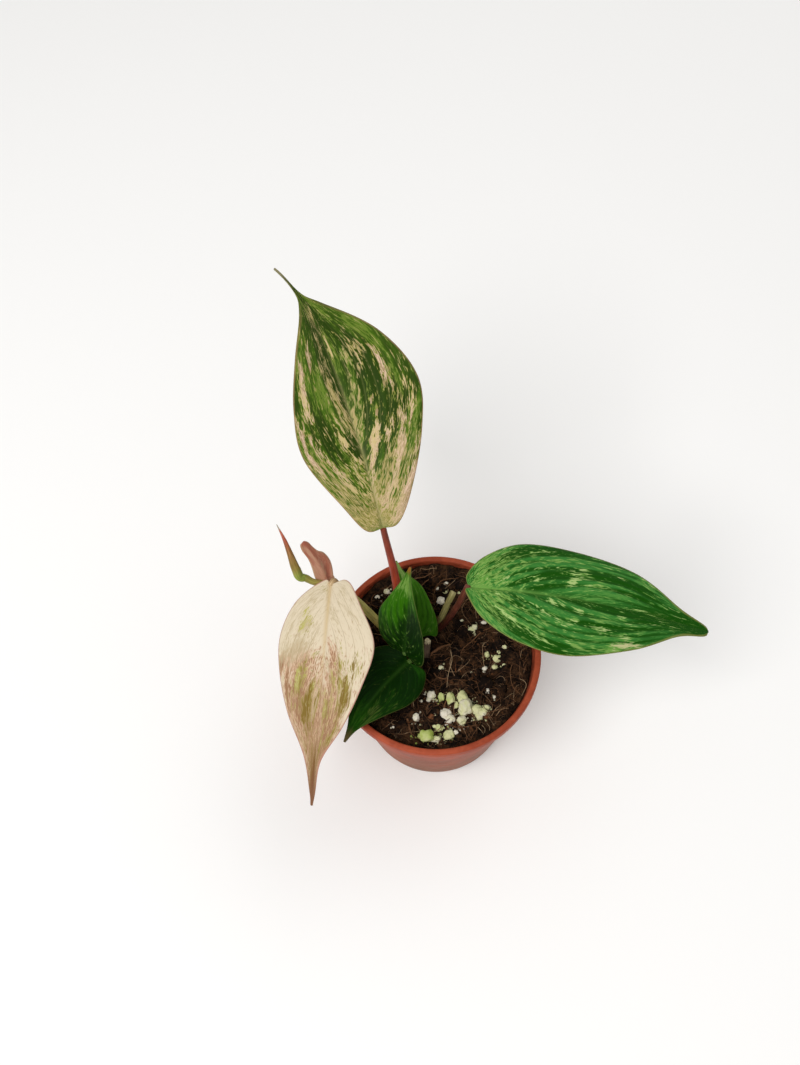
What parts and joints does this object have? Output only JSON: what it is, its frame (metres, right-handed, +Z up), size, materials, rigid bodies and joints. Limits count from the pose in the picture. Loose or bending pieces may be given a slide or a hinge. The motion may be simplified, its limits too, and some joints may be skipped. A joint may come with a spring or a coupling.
{
  "type": "potted marble variegated micans philodendron",
  "caption": "Young trailing philodendron with marbled heart-shaped leaves, growing from soil in a small round nursery pot.",
  "frame": {"origin": "middle of the pot's base, on the surface it stands on", "axes": "+Z up, -Y the plant's front, +X to the right where the green leaf points"},
  "size_m": [0.1193, 0.1308, 0.1097],
  "materials": {
    "pot": "satin",
    "soil": "matte",
    "stem": "satin",
    "red_stalk": "satin",
    "dark_stalk": "satin",
    "marbled_leaf": "satin",
    "green_leaf": "satin",
    "pink_leaf": "satin",
    "small_leaf": "satin",
    "bud": "satin",
    "dry_stem": "matte"
  },
  "bodies": {
    "root": {"pot": "pot", "soil": "soil", "main_stem": "stem", "marbled_leaf": "marbled_leaf", "marbled_leaf_stalk": "red_stalk", "green_leaf": "green_leaf", "green_leaf_stalk": "dark_stalk", "pink_leaf": "pink_leaf", "pink_leaf_stalk": "stem", "upright_small_leaf": "small_leaf", "upright_small_leaf_stalk": "stem", "flat_small_leaf": "small_leaf", "flat_small_leaf_stalk": "stem", "hidden_small_leaf": "small_leaf", "hidden_small_leaf_stalk": "stem", "growing_tip": "bud", "bud_sheath": "bud", "cut_stalk": "dry_stem", "dry_stub": "dry_stem"}
  },
  "joints": []
}
